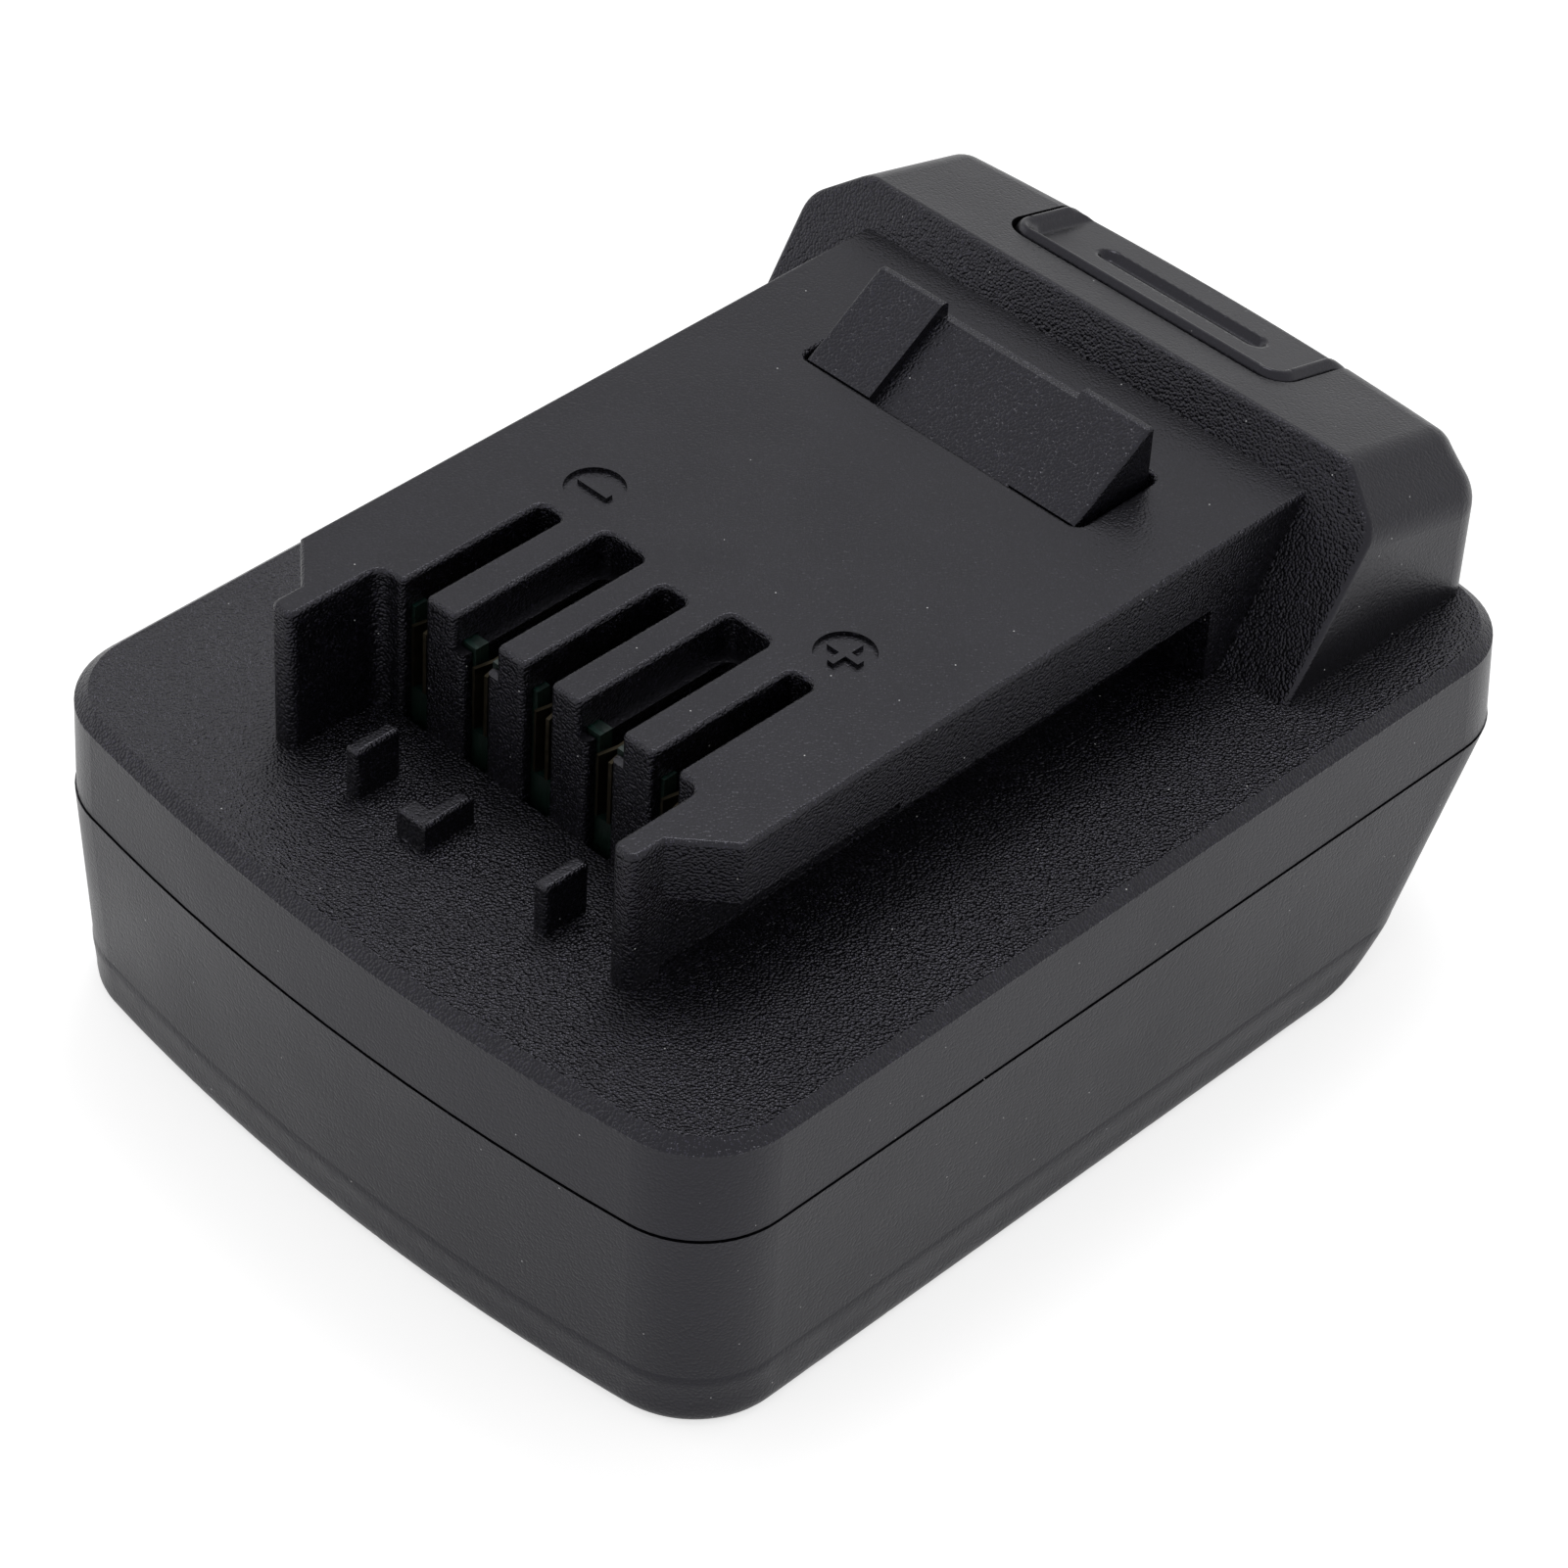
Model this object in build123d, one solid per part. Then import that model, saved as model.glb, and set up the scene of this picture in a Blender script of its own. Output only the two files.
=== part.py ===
from build123d import *
import math
import os

# Battery pack for a cordless power tool, in millimetres.
# X is across the pack, +Y points to the end with the release button, +Z is up.
# The origin is the middle of the surface that the pack stands on.

# Case: overall sizes
case_half_width = 40.1       # at the joint between the two shells
case_front = -53.4           # foremost point of the bowed front, at the joint
joint_rear = 53.4            # rearmost point at the joint
case_rear = 52.45            # and at the shoulder
joint_height = 22.2          # height of the joint between the two shells
shoulder_height = 31.4       # top of the upright side walls
deck_height = 32.4           # the flat top surface of the case
front_bow = 3.6              # how far the front bulges between its corners
rear_bow = 3.6
front_corner_radius = 9.0
rear_corner_radius = 8.6
side_draft = 0.7             # how much each side comes in from joint to floor
front_draft = 1.1
joint_step = 0.1             # how far the upper shell stands inside the lower one
shoulder_draft = 0.1
bevel_width = 1.1            # bevel between side wall and deck, seen from above
undercut_angle = 61.7        # slope of the rear wall of the lower shell, in degrees
undercut_radius = 11.2       # roll from that wall into the floor
floor_edge_radius = 1.4
wall = 2.0
joint_gap = 0.2              # shadow line between the shells
lip_height = 1.4             # lip of the lower shell inside the upper one
lip_thickness = 0.9
lip_clearance = 0.15

# Rail platform on the deck
platform_height = 46.6
platform_half_width = 25.85
platform_wall = 2.2
rail_web_half_width = 20.5   # wall behind each rail groove
flange_thickness = 6.0       # over each rail groove, at the front
flange_step = 0.7            # thicker by this much behind its small step
groove_step = -15.2
groove_end = 22.6
nose_corner = -33.1          # where the slanted front corner of a flange ends
leg_corner = -37.2           # where it starts, at the leg
leg_front = -40.6
leg_inner = 18.65
leg_outer = 21.2
bay_rear = -30.8             # front faces of the fingers
platform_rear = 36.6         # hidden in the rear block
platform_edge_radius = 0.45
leg_tip_radius = 0.9
bay_corner_radius = 1.3
finger_corner_radius = 0.6
hollow_front = -11.6         # the platform is hollow behind the slots

# Terminal slots: a middle one, a wide pair and an outer pair
middle_slot_half_width = 1.5
wide_slot_inner = 4.85
wide_slot_outer = 9.7
outer_slot_inner = 13.3
outer_slot_outer = 15.95
narrow_slot_end = -15.1
wide_slot_end = -13.7
slot_end_radius = 0.9
ledge_depth = 3.5            # from the platform top down to the ledges of a wide slot
ledge_width = 1.1

# Polarity marks
mark_offset = 14.6
mark_y = -10.4
mark_radius = 2.7
mark_depth = 0.35
mark_stroke = 0.7
mark_length = 3.5

# Keys on the deck in front of the terminals
key_inner = 10.35
key_width = 1.55
key_front = -40.8
key_rear = -36.0
key_height = 5.0
low_key_left = -5.3
low_key_right = -1.9
low_key_front = -41.1
low_key_width = 2.1
low_key_leg = 1.6
low_key_rear = -35.6
low_key_height = 2.7
key_edge_radius = 0.4

# Rear block
block_half_width = 33.2
block_top_half_width = 28.0
block_crest_y = 36.1         # front edge of the top
block_rise = 3.5             # height of that edge above the platform
block_front_lean = 0.64      # the front face goes back by this much per millimetre of height
block_fall = 0.26            # the top falls by this much per millimetre towards the rear
block_side_drop = 4.4        # height of the slanted corner between top and side
block_rear = 52.2
block_rear_bow = 2.2
block_corner_radius = 4.0
block_rear_radius = 3.3
block_edge_radius = 0.6

# Release button
button_half_width = 16.1
button_front = 41.0
button_corner_radius = 2.6
button_clearance = 0.3
button_leg = 5.5             # from the slide's top down to the lower edge of the button
rim_width = 1.9              # raised rim round the dish, at the foot of the dish's walls
rim_edge_radius = 0.6
dish_depth = 0.8
dish_corner_radius = 1.6
recess_half_length = 9.1     # at its floor
recess_width = 1.3
recess_y = 47.3
recess_depth = 0.8
dish_edge_radius = 0.5       # between the dish's floor and its walls
recess_edge_radius = 0.45
recess_taper = 35.0          # lean of both walls, in degrees
apron_reach = 1.5            # past each side of the button, behind the window
apron_thickness = 1.5
apron_space = 0.9            # between the apron and the rear wall of the block
apron_height = 12.6

# Latch hook and the slide that joins it to the button
latch_travel = 5.6
horn_inner = 8.15
horn_outer = 15.7
hook_front = 15.9
hook_crest_y = 24.5
hook_heel = 25.3
hook_rise = 5.4              # above the platform
hook_middle_drop = 1.2
hook_toe = 0.2               # of the wedge's front edge below the platform's top
hook_edge_radius = 0.35
pocket_side_gap = 0.5
pocket_front_gap = 0.2
pocket_rear_gap = 0.6
pocket_corner_radius = 1.0
slide_side_gap = 0.7         # in the hollow of the platform
slide_thickness = 2.5
slide_front = 13.4
slide_rear = 47.0
slide_top_gap = 0.3          # under the hollow of the platform

# Latch springs
spring_x = 10.0
spring_y = 30.4
spring_radius = 3.0
spring_wire = 0.7
spring_pin_radius = 2.0
spring_pin_length = 3.0

# Cells: four lengthwise side by side, one crosswise in front of them
cell_radius = 9.05
cell_length = 65.0
cell_gap = 0.05              # between neighbours
cell_rest = 2.35             # lowest side of the cells above the inner floor
cell_row_front = -28.0
cross_cell_gap = 0.85        # between the crosswise cell and the ends of the others
cell_cap_radius = 4.0
cell_cap_height = 0.6

# Cell holders
holder_clearance = 0.1
holder_inset = 1.7           # ribs stop this far inside the outer cells' sides
holder_rib_width = 6.0
holder_rib_rows = (-15.0, 24.0)
cross_rib_columns = (-18.0, 18.0)
cross_rib_front = -45.5
cross_rib_rear = -30.3
lower_holder_plate = 1.2
lower_plate_inset = 5.0
lower_rib_drop = 5.0         # rim of the lower ribs below the axis of the cells
upper_rib_rise = 5.2         # lower edge of the upper ribs above that axis
upper_holder_plate = 1.3
upper_plate_gap = 0.25       # over the cells
upper_plate_inset = 2.3
upper_plate_front = -45.5
upper_plate_rear = 36.6

# Nickel strips
strip_thickness = 0.25
strip_height = 9.0
strip_gap = 0.1
strip_reach = 4.0            # past the axis of the cell that it joins
tab_width = 3.0

# Boards and what stands on them
sheet_thickness = 0.3
board_thickness = 1.6
board_half_width = 24.5
board_front = -36.0
board_rear = 12.0
board_corner_radius = 1.5
block_top_gap = 0.2
terminal_block_half_width = 17.0
terminal_block_front = -27.4
terminal_block_rear = -14.4
contact_board_y = -29.0
contact_board_thickness = 1.4
contact_board_half_width = 17.2
contact_board_drop = 3.1     # from the platform's top down to the board
contact_board_notch = 1.0
contact_board_notch_bottom = 35.0
board_pocket_clearance = 0.15
contact_thickness = 0.35
contact_bottom = 35.6
contact_drop = 4.6           # from the platform's top down to the clip
contact_half_gap = 0.72      # from the middle of a clip to a leaf
contact_pinch = 0.3          # and where its leaves pinch
contact_mouth = 0.6          # from the fingers' faces back to the clip
contact_pinch_place = 2.6
contact_rear_gap = 1.6       # in front of the end of a narrow slot
contact_taper = 7.0
contact_foot = 6.0
chip_size = 5.0
chip_height = 1.0
chip_y = 3.0
transistor_width = 6.5
transistor_length = 6.0
transistor_height = 2.3
transistor_columns = (10.0, 18.5)
fuse_length = 7.0
fuse_width = 3.0
fuse_height = 2.0
fuse_x = -15.0
thermistor_radius = 1.6
thermistor_length = 6.0
thermistor_gap = 0.6         # under the plate of the upper holder
thermistor_lead = 0.4
lead_clearance = 0.3
wire_radius = 0.45
wire_x = 18.0
pad_half_width = 24.0
pad_thickness = 3.0
pad_bottom = 9.0
pad_top = 19.0
pad_gap = 0.15

# Case screws, driven from below
front_screw_inset = 5.0      # from the side of the case
front_screw_y = -31.6
rear_screw_inset = 2.6       # from the side of the rear block
rear_screw_y = 41.0
front_seat_height = 3.0
rear_seat_height = 12.0
screw_radius = 1.15
screw_clearance = 0.05
head_radius = 2.1
head_height = 1.6
head_clearance = 0.15
cross_length = 2.4           # recess in the screw head
cross_width = 0.6
cross_depth = 0.8
screw_depth = 6.0            # of the screw in the upper shell
post_radius = 3.0
post_step = 2.0              # of the wide foot of a post above the screw seat
boss_radius = 2.0
boss_drop = 9.0              # from the block's front top edge down to the rear bosses
spare = 5.0                  # by which cutting shapes reach past what they cut

slope = math.radians(undercut_angle)
roll_tangent_height = undercut_radius * (1 - math.cos(slope))
roll_centre = (joint_rear - undercut_radius * math.sin(slope)
               - (joint_height - roll_tangent_height) / math.tan(slope))
deck_underside = deck_height - wall
ceiling = platform_height - platform_wall
groove_top_front = platform_height - flange_thickness
groove_top_rear = groove_top_front - flange_step
block_height = platform_height + block_rise
hook_height = platform_height + hook_rise
contact_board_top = platform_height - contact_board_drop
contact_top = platform_height - contact_drop
slide_top = ceiling - slide_top_gap
slide_bottom = slide_top - slide_thickness
slide_half_width = rail_web_half_width - platform_wall - slide_side_gap
button_bottom = slide_top - button_leg
button_leg_front = block_rear - wall - apron_space - apron_thickness
apron_half_width = button_half_width + apron_reach
apron_bottom = slide_top - apron_height
cell_pitch = 2 * cell_radius + cell_gap
cell_axis_height = wall + cell_rest + cell_radius
cross_cell_y = cell_row_front - cross_cell_gap - cell_radius
holder_half_width = 2 * cell_pitch - holder_inset
lower_holder_height = cell_axis_height - lower_rib_drop
upper_holder_bottom = cell_axis_height + upper_rib_rise
upper_holder_top = cell_axis_height + cell_radius + upper_plate_gap + upper_holder_plate
upper_plate_half_width = holder_half_width - upper_plate_inset
thermistor_height = upper_holder_top - upper_holder_plate - thermistor_gap - thermistor_radius
sheet_top = upper_holder_top + sheet_thickness
board_top = sheet_top + board_thickness
terminal_block_top = deck_underside - block_top_gap
cell_row_rear = cell_row_front + cell_length
cell_columns = [cell_pitch * (i - 1.5) for i in range(4)]
slot_centres = (
    -(outer_slot_inner + outer_slot_outer) / 2,
    -(wide_slot_inner + wide_slot_outer) / 2,
    0,
    (wide_slot_inner + wide_slot_outer) / 2,
    (outer_slot_inner + outer_slot_outer) / 2,
)


def box(x, y, z):
    """A block between two values on each axis."""
    size = (x[1] - x[0], y[1] - y[0], z[1] - z[0])
    return Pos(x[0], y[0], z[0]) * Box(*size, align=(Align.MIN, Align.MIN, Align.MIN))


def rod(x, y, z, radius):
    """An upright round rod between two heights."""
    return Pos(x, y, z[0]) * Cylinder(radius, z[1] - z[0], align=(Align.CENTER, Align.CENTER, Align.MIN))


def rise(face, bottom, top):
    """A plan face pulled up between two heights."""
    return Pos(0, 0, bottom) * extrude(face, top - bottom)


def rounded(plan, corners, radius):
    """Rounds the plan corners at the given places, on both sides of the middle."""
    def chosen(vertex):
        return any(abs(abs(vertex.X) - x) < 0.01 and abs(vertex.Y - y) < 0.01 for x, y in corners)
    return fillet(plan.vertices().filter_by(chosen), radius)


# Case shells

def case_outline(half_width, front, rear, front_radius, rear_radius):
    """Plan of the case: straight sides, bowed front and rear, round corners."""
    front_corner = front + front_bow
    rear_corner = rear - rear_bow
    outline = make_face([
        ThreePointArc((-half_width, front_corner), (0, front), (half_width, front_corner)),
        Line((half_width, front_corner), (half_width, rear_corner)),
        ThreePointArc((half_width, rear_corner), (0, rear), (-half_width, rear_corner)),
        Line((-half_width, rear_corner), (-half_width, front_corner)),
    ])
    outline = fillet(outline.vertices().sort_by(Axis.Y)[:2], front_radius)
    return fillet(outline.vertices().sort_by(Axis.Y)[-2:], rear_radius)


def tangent_height(inset):
    """Height where the roll at the rear of the floor meets the slanted wall."""
    return undercut_radius - (undercut_radius - inset) * math.cos(slope)


def rear_wall(height, inset):
    """Y of the rear of the lower shell: a slanted wall that rolls into the floor."""
    radius = undercut_radius - inset
    if height < tangent_height(inset):
        return roll_centre + math.sqrt(radius ** 2 - (undercut_radius - height) ** 2)
    return roll_centre + radius * math.sin(slope) + (height - tangent_height(inset)) / math.tan(slope)


def lower_section(height, inset):
    """Plan of the lower shell at a height, the given distance inside its surface."""
    depth = (joint_height - height) / joint_height
    above_floor = height - inset
    tuck = 0
    if above_floor < floor_edge_radius:
        tuck = floor_edge_radius - math.sqrt(floor_edge_radius ** 2 - (floor_edge_radius - above_floor) ** 2)
    outline = case_outline(
        case_half_width - side_draft * depth - inset - tuck,
        case_front + front_draft * depth + inset + tuck,
        rear_wall(height, inset),
        front_corner_radius - inset - tuck,
        rear_corner_radius - inset - tuck,
    )
    return Pos(0, 0, height) * outline


def lower_volume(inset):
    """Everything inside the lower shell's surface, up to the joint; the inner one has flat bands."""
    seat = tangent_height(inset)
    turns = (0, 90) if inset else (0, 30, 60, 90)
    heights = [inset + floor_edge_radius * (1 - math.cos(math.radians(turn))) for turn in turns]
    heights += [(heights[-1] + seat) / 2, seat]
    roll = loft([lower_section(height, inset) for height in heights], ruled=inset > 0)
    walls = loft([lower_section(seat, inset), lower_section(joint_height, inset)], ruled=True)
    return roll + walls


def upper_section(height, inset):
    """Plan of the upper shell at a height between the joint and the deck."""
    share = min(1, (height - joint_height) / (shoulder_height - joint_height))
    bevel = bevel_width * max(0, height - shoulder_height) / (deck_height - shoulder_height)
    taper = joint_step + shoulder_draft * share + bevel + inset
    outline = case_outline(
        case_half_width - taper,
        case_front + taper,
        joint_rear + (case_rear - joint_rear) * share - bevel - inset,
        front_corner_radius - inset - bevel,
        rear_corner_radius - inset - bevel,
    )
    return Pos(0, 0, height) * outline


def upper_volume(inset, bottom, top):
    """Everything inside the skirt of the upper shell between two heights."""
    heights = [bottom, top]
    if bottom < shoulder_height < top:
        heights.insert(1, shoulder_height)
    return loft([upper_section(height, inset) for height in heights], ruled=True)


# Platform

def slot(inner, outer, rear, radius, front=leg_front):
    """Plan of one terminal slot, open at the front, with a rounded rear end."""
    plan = make_face(Polyline((inner, front), (outer, front), (outer, rear), (inner, rear), close=True))
    return fillet(plan.vertices().sort_by(Axis.Y)[-2:], radius)


def slots(wide, front=leg_front):
    """Plans of all five slots; below their ledges the wide ones are narrower and shorter."""
    ledge = 0 if wide else ledge_width
    radius = slot_end_radius if wide else (wide_slot_outer - wide_slot_inner) / 2 - ledge_width - 0.01
    half = middle_slot_half_width
    power = slot(wide_slot_inner + ledge, wide_slot_outer - ledge, wide_slot_end - ledge, radius, front)
    signal = slot(outer_slot_inner, outer_slot_outer, narrow_slot_end, slot_end_radius, front)
    middle = slot(-half, half, narrow_slot_end, slot_end_radius, front)
    return [middle, power, signal, mirror(power, about=Plane.YZ), mirror(signal, about=Plane.YZ)]


def platform_plan(half_width, wide):
    """Plan of the platform: two legs in front, fingers between the slots, slanted front corners."""
    lean = (half_width - leg_outer) / (platform_half_width - leg_outer)
    nose = leg_corner + (nose_corner - leg_corner) * abs(lean)
    half = make_face(Polyline(
        (0, bay_rear), (leg_inner, bay_rear), (leg_inner, leg_front), (leg_outer, leg_front),
        (leg_outer, leg_corner), (half_width, nose), (half_width, platform_rear), (0, platform_rear),
        close=True,
    ))
    plan = half + mirror(half, about=Plane.YZ)
    for opening in slots(wide):
        plan = plan - opening
    ledge = 0 if wide else ledge_width
    edges = [middle_slot_half_width, wide_slot_inner + ledge, wide_slot_outer - ledge,
             outer_slot_inner, outer_slot_outer]
    plan = rounded(plan, [(x, bay_rear) for x in edges], finger_corner_radius)
    plan = rounded(plan, [(leg_inner, bay_rear)], bay_corner_radius)
    return rounded(plan, [(leg_inner, leg_front), (leg_outer, leg_front)], leg_tip_radius)


def pocket_plan():
    """Plan of the opening that the latch hook comes up through."""
    half = horn_outer + pocket_side_gap
    front = hook_front - pocket_front_gap
    rear = hook_heel + pocket_rear_gap
    plan = make_face(Polyline((-half, front), (half, front), (half, rear), (-half, rear), close=True))
    return fillet(plan.vertices(), pocket_corner_radius)


def platform():
    """Rail platform with its grooves, bay, fingers, slots and latch pocket."""
    ledge = platform_height - ledge_depth
    top = rise(platform_plan(platform_half_width, True) - pocket_plan(), ledge, platform_height)
    top = fillet(top.edges().group_by(Axis.Z)[-1], platform_edge_radius)
    flange = rise(platform_plan(platform_half_width, False) - pocket_plan(), groove_top_front, ledge)
    web = rise(platform_plan(rail_web_half_width, False), deck_height, groove_top_front)
    body = top + flange + web
    for side in (-1, 1):
        across = sorted((side * (rail_web_half_width - 1), side * platform_half_width))
        body += box(across, (groove_step, platform_rear), (groove_top_rear, groove_top_front))
        body += box(across, (groove_end, platform_rear), (deck_height, groove_top_rear))
    return body


def polarity_marks():
    """The two round recesses, each with its sign left standing in it."""
    cuts = []
    for side in (-1, 1):
        sign = Rectangle(mark_length, mark_stroke)
        if side > 0:
            sign += Rectangle(mark_stroke, mark_length)
        disc = Pos(side * mark_offset, mark_y) * (Circle(mark_radius) - sign)
        cuts.append(rise(disc, platform_height - mark_depth, platform_height + 1))
    return cuts


def deck_keys():
    """The two upright keys and the low angled one in front of the fingers."""
    top = deck_height + key_height
    keys = []
    for side in (-1, 1):
        across = sorted((side * key_inner, side * (key_inner + key_width)))
        key = box(across, (key_front, key_rear), (deck_height, top))
        above = key.edges().filter_by(lambda edge: edge.center().Z > deck_height + 0.01)
        keys.append(fillet(above, key_edge_radius))
    low_top = deck_height + low_key_height
    low = box((low_key_left, low_key_right), (low_key_front, low_key_front + low_key_width),
              (deck_height, low_top))
    leg = low_key_left + (low_key_right - low_key_left) / 2
    low += box((leg, leg + low_key_leg), (low_key_front, low_key_rear), (deck_height, low_top))
    keys.append(fillet(low.edges().group_by(Axis.Z)[-1], key_edge_radius))
    return keys


# Rear block

def block_volume(inset, soft):
    """The rear block: leaning front, falling top, slanted upper corners, bowed rear."""
    half = block_half_width - inset
    rear = block_rear - inset
    bottom = joint_height + lip_height
    plan = make_face([
        Polyline((-half, rear - block_rear_bow), (-half, 0), (half, 0), (half, rear - block_rear_bow)),
        ThreePointArc((half, rear - block_rear_bow), (0, rear), (-half, rear - block_rear_bow)),
    ])
    plan = fillet(plan.vertices().sort_by(Axis.Y)[-2:], block_corner_radius - inset)
    body = rise(plan, shoulder_height if soft else bottom, block_height + spare)
    front_shift = inset * math.hypot(1, block_front_lean)
    roof_drop = inset * math.hypot(1, block_fall)

    def front_at(height):
        return block_crest_y + front_shift + block_front_lean * (height - block_height)

    def roof_at(y):
        return block_height - roof_drop - block_fall * (y - block_crest_y)

    crest = (block_height - roof_drop + block_fall * block_front_lean * block_height
             - block_fall * front_shift) / (1 + block_fall * block_front_lean)
    far = block_rear + 2 * spare
    side = make_face(Polyline(
        (front_at(0), 0), (front_at(crest), crest), (far, roof_at(far)), (far, 0), close=True))
    body &= extrude(Plane.YZ * side, half + spare, both=True)
    roof = roof_at(0)
    narrow = block_top_half_width - inset * math.tan(math.atan2(block_side_drop,
                                                                block_half_width - block_top_half_width) / 2)
    section = make_face(Polyline(
        (-half, 0), (half, 0), (half, roof - (half - narrow) * block_side_drop
                                / (block_half_width - block_top_half_width)),
        (narrow, roof), (-narrow, roof),
        (-half, roof - (half - narrow) * block_side_drop / (block_half_width - block_top_half_width)),
        close=True))
    body &= extrude(Plane.XZ * section, -far * math.hypot(1, block_fall), dir=(0, -1, block_fall))
    return body


def soft_block():
    """The rear block with its edges rounded, the rear top edge most of all."""
    def roof_line(edge):
        ends = (edge @ 0, edge @ 1)
        along = abs(ends[0].Y - ends[1].Y) > wall
        return along and all(abs(abs(end.X) - block_top_half_width) < 0.01 for end in ends)

    def rear_top(edge):
        behind = block_rear - block_rear_bow - block_corner_radius - 1
        high = min((edge @ 0).Z, (edge @ 1).Z) > deck_height + spare
        return high and all(point.Y > behind for point in (edge @ 0, edge @ 0.5, edge @ 1))

    def front(edge):
        ends = (edge @ 0, edge @ 1)
        high = max(end.Z for end in ends) > deck_height + 1
        return high and all(end.Y < block_crest_y + 0.5 for end in ends)

    body = block_volume(0, True)
    body = fillet(body.edges().filter_by(roof_line), block_rear_radius - 0.3)
    body = fillet(body.edges().filter_by(rear_top), block_rear_radius)
    return fillet(body.edges().filter_by(front), block_edge_radius)


def button_plan(clearance):
    """Plan of the button, open past the rear of the block."""
    half = button_half_width + clearance
    front = button_front - clearance
    far = block_rear + spare
    plan = make_face(Polyline((-half, front), (half, front), (half, far), (-half, far), close=True))
    return fillet(plan.vertices().sort_by(Axis.Y)[:2], button_corner_radius + clearance)


# Screws

def screw_spots():
    """Place, seat height and side of each case screw."""
    spots = []
    for side in (-1, 1):
        spots.append((side * (case_half_width - front_screw_inset), front_screw_y, front_seat_height))
        spots.append((side * (block_half_width - rear_screw_inset), rear_screw_y, rear_seat_height))
    return spots


def case_screws():
    """Four round-head screws with a cross recess, driven from below."""
    screws = []
    for x, y, seat in screw_spots():
        screw = rod(x, y, (seat - head_height, seat), head_radius)
        screw += rod(x, y, (seat, joint_height + screw_depth), screw_radius)
        for turn in (0, 90):
            recess = Box(cross_length, cross_width, 2 * cross_depth)
            screw -= Pos(x, y, seat - head_height) * Rot(0, 0, turn) * recess
        screws.append(screw)
    return Compound(screws)


# Shells

def lower_case():
    """Lower shell: slanted rear, rolled floor edge, joint lip and four screw posts."""
    body = lower_volume(0) - lower_volume(wall)
    lip_top = joint_height + lip_height
    lip = upper_volume(wall - lip_thickness, joint_height, lip_top)
    lip -= upper_volume(wall, joint_height, lip_top)
    body += lip
    solid = lower_volume(0)
    for x, y, seat in screw_spots():
        foot = rod(x, y, (0, seat + post_step), post_radius)
        post = rod(x, y, (0, joint_height), boss_radius)
        body += (foot + post) & solid
    for x, y, seat in screw_spots():
        body -= rod(x, y, (-1, seat), head_radius + head_clearance)
        body -= rod(x, y, (seat - 1, joint_height + 1), screw_radius + screw_clearance)
    return body


def upper_case():
    """Upper shell with deck, rail platform, terminal fingers and rear block."""
    skirt = upper_volume(0, joint_height + joint_gap, deck_height)
    skirt -= upper_volume(wall, joint_height, deck_underside)
    skirt -= upper_volume(wall - lip_thickness - lip_clearance, joint_height, joint_height + lip_height)
    body = skirt + soft_block() + platform()
    body -= box((-rail_web_half_width + platform_wall, rail_web_half_width - platform_wall),
                (hollow_front, platform_rear + 4), (joint_height, ceiling))
    body -= block_volume(wall, False)
    for opening in slots(False, bay_rear):
        body -= rise(opening, deck_underside - 1, deck_height)
    reach = contact_board_half_width + board_pocket_clearance
    depth = contact_board_thickness / 2 + board_pocket_clearance
    body -= box((-reach, reach), (contact_board_y - depth, contact_board_y + depth),
                (deck_underside - 1, contact_board_top + board_pocket_clearance))
    window_bottom = button_bottom - latch_travel - button_clearance
    body -= rise(button_plan(button_clearance), window_bottom, block_height + spare)
    for mark in polarity_marks():
        body -= mark
    for key in deck_keys():
        body += key
    for x, y, seat in screw_spots():
        top = block_height - boss_drop if seat == rear_seat_height else deck_underside
        boss = rod(x, y, (joint_height, top), boss_radius)
        body += boss
    for x, y, seat in screw_spots():
        body -= rod(x, y, (joint_height - 1, joint_height + screw_depth + 1), screw_radius + screw_clearance)
    return body


# Latch

def hook_profile(drop):
    """Side view of the latch wedge, lowered by the given amount."""
    return make_face(Polyline(
        (hook_front, slide_top), (hook_front, platform_height - hook_toe - drop),
        (hook_crest_y, hook_height - drop), (hook_heel, hook_height - drop), (hook_heel, slide_top),
        close=True))


def latch_hook():
    """Wedge with two horns, on the slide that runs back under the button."""
    def wedge(left, right, drop):
        body = extrude(Plane.YZ * hook_profile(drop), right - left)
        return Pos(left, 0, 0) * body

    hook = wedge(-horn_outer, -horn_inner, 0)
    hook += wedge(-horn_inner, horn_inner, hook_middle_drop)
    hook += wedge(horn_inner, horn_outer, 0)

    def horn(edge):
        return edge.center().Z > platform_height + 1 and abs(edge.center().X) > horn_inner

    hook = fillet(hook.edges().filter_by(horn), hook_edge_radius)
    slide = box((-slide_half_width, slide_half_width), (slide_front, slide_rear), (slide_bottom, slide_top))
    hook += slide
    for side in (-1, 1):
        hook += rod(side * spring_x, spring_y, (slide_bottom - spring_pin_length, slide_bottom),
                    spring_pin_radius)
    return hook


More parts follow.
